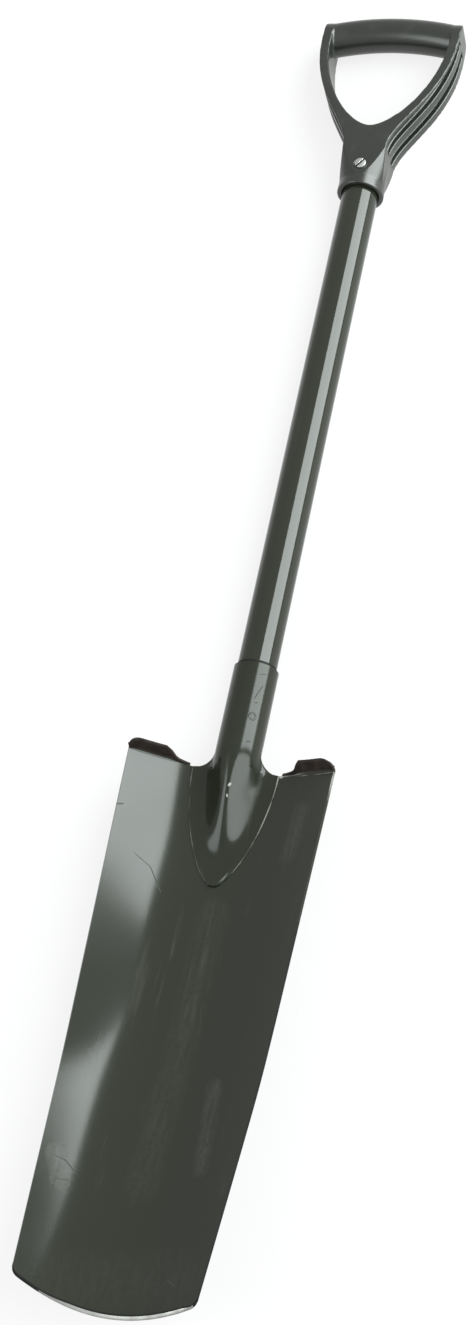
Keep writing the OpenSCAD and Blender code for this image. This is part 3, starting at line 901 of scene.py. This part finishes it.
class SpadeStage(bpy.types.Operator):
    """Lay the pale floor, hang the lights and set the camera"""

    bl_idname = "spade.stage"
    bl_label = "Stage"

    FLOOR_HALF = 6
    SEEN_RAYS = ("Is Camera Ray", "Is Glossy Ray", "Is Transmission Ray")
    WINDOW_HIGH = Vector((0.66, 0, 1.67))
    WINDOW_LOW = Vector((1.93, 0, 0.37))
    WINDOW_ENDS = (0.365, 2.2)
    SIDE_ENDS = (-0.75, 0.02)
    LAMP_PLACE = Vector((-1.45, -0.9, 1.65))
    LAMP_SIZE = 1.6
    WORLD_LEVEL = 0.7
    GLOW_SHARE = 0.8
    SENSOR = 36

    def execute(self, context):
        stage = settings_of(context).stage
        self.lay_floor(stage)
        self.hang_window("window", stage, self.WINDOW_ENDS, stage.window_power)
        self.hang_window("side_window", stage, self.SIDE_ENDS, stage.side_power)
        self.hang_lamp(stage)
        self.light_world()
        self.set_camera(stage)
        context.scene.view_settings.view_transform = "Standard"
        return {"FINISHED"}

    def lay_floor(self, stage):
        """A wide floor that stays pale to the camera and keeps the shadow."""
        mesh = bmesh.new()
        bmesh.ops.create_grid(mesh, x_segments=1, y_segments=1, size=self.FLOOR_HALF)
        data = bpy.data.meshes.new("floor")
        mesh.to_mesh(data)
        mesh.free()
        finish = Finish("pale_floor")
        mottle = finish.noise(finish.place(), 3, 2)
        finish.surface(Base_Color=tuple(stage.floor), Roughness=mottle * 0.1 + 0.6)
        first, *others = (finish.node("LightPath", {}, {}, ray) for ray in self.SEEN_RAYS)
        seen = sum(others, first)
        glow = finish.node("Emission", {}, {"Color": (1, 1, 1, 1), "Strength": 1.0})
        lit = Value(finish, finish.shader.outputs[0])
        both = finish.node("MixShader", {}, {0: seen.clamped() * self.GLOW_SHARE, 1: lit, 2: glow})
        end = next(n for n in finish.tree.nodes if n.type == "OUTPUT_MATERIAL")
        finish.feed(end.inputs["Surface"], both)
        data.materials.append(finish.material)
        floor = bpy.data.objects.new("floor", data)
        show(floor)

    def hang_window(self, name, stage, ends, energy):
        """A slanted soft light at the right, which the gloss paint mirrors."""
        lamp = bpy.data.lights.new(name, "AREA")
        lamp.shape = "RECTANGLE"
        lamp.size = (self.WINDOW_HIGH - self.WINDOW_LOW).length
        lamp.size_y = ends[1] - ends[0]
        lamp.energy = energy
        lamp.color = stage.window_tint[:3]
        light = bpy.data.objects.new(name, lamp)
        middle = (self.WINDOW_HIGH + self.WINDOW_LOW) / 2
        middle.y = sum(ends) / 2
        side = (self.WINDOW_LOW - self.WINDOW_HIGH).normalized()
        up = Vector((0, 1, 0))
        turn = Matrix((side, up, side.cross(up))).transposed()
        light.matrix_world = Matrix.Translation(middle) @ turn.to_4x4()
        show(light)

    def hang_lamp(self, stage):
        """A small light in front at the left, which the nose of the ridge mirrors."""
        lamp = bpy.data.lights.new("lamp", "AREA")
        lamp.shape = "DISK"
        lamp.size = self.LAMP_SIZE
        lamp.energy = stage.lamp_power
        lamp.color = stage.window_tint[:3]
        light = bpy.data.objects.new("lamp", lamp)
        light.location = self.LAMP_PLACE
        light.rotation_euler = (Vector((0, 0, 0)) - light.location).to_track_quat("-Z", "Y").to_euler()
        show(light)

    def light_world(self):
        """An even pale light from all round."""
        world = bpy.data.worlds.new("studio")
        world.use_nodes = True
        bpy.context.scene.world = world
        background = next(n for n in world.node_tree.nodes if n.type == "BACKGROUND")
        background.inputs["Color"].default_value = (1, 1, 1, 1)
        background.inputs["Strength"].default_value = self.WORLD_LEVEL

    def set_camera(self, stage):
        """The camera at the photograph's angle."""
        lens = bpy.data.cameras.new("camera")
        lens.sensor_fit = "VERTICAL"
        lens.sensor_height = self.SENSOR
        lens.sensor_width = self.SENSOR
        lens.lens = stage.lens
        camera = bpy.data.objects.new("camera", lens)
        turn = (Matrix.Rotation(stage.camera_yaw, 3, "Y") @ Matrix.Rotation(stage.camera_pitch, 3, "X")
                @ Matrix.Rotation(stage.camera_roll, 3, "Z"))
        camera.location = stage.camera_place
        camera.rotation_euler = turn.to_euler()
        show(camera)
        bpy.context.scene.camera = camera


class SpadeSettings(bpy.types.PropertyGroup):
    """All settings of the spade."""

    blade: PointerProperty(type=BladeSettings)
    socket: PointerProperty(type=SocketSettings)
    shaft: PointerProperty(type=ShaftSettings)
    handle: PointerProperty(type=HandleSettings)
    finish: PointerProperty(type=FinishSettings)
    stage: PointerProperty(type=StageSettings)


class SpadePanel(bpy.types.Panel):
    """Lists the steps that build the spade"""

    bl_idname = "VIEW3D_PT_spade"
    bl_label = "Trenching Spade"
    bl_space_type = "VIEW_3D"
    bl_region_type = "UI"
    bl_category = "Spade"

    def draw(self, context):
        for step in STEPS:
            self.layout.operator(step.bl_idname)


SETTINGS = (BladeSettings, SocketSettings, ShaftSettings, HandleSettings, FinishSettings, StageSettings,
            SpadeSettings)
STEPS = (SpadeBlade, SpadeSocket, SpadeShaft, SpadeHandle, SpadeFixings, SpadeStage)
CLASSES = SETTINGS + STEPS + (SpadePanel,)


def register():
    """Makes the settings, steps and panel known to Blender."""
    for cls in CLASSES:
        bpy.utils.register_class(cls)
    bpy.types.Scene.spade = PointerProperty(type=SpadeSettings)


def unregister():
    """Takes the settings, steps and panel out of Blender."""
    del bpy.types.Scene.spade
    for cls in reversed(CLASSES):
        bpy.utils.unregister_class(cls)


def main():
    """Builds the spade and its stage."""
    register()
    bpy.ops.spade.blade()
    bpy.ops.spade.socket()
    bpy.ops.spade.shaft()
    bpy.ops.spade.handle()
    bpy.ops.spade.fixings()
    bpy.ops.spade.stage()


if __name__ == "__main__":
    main()
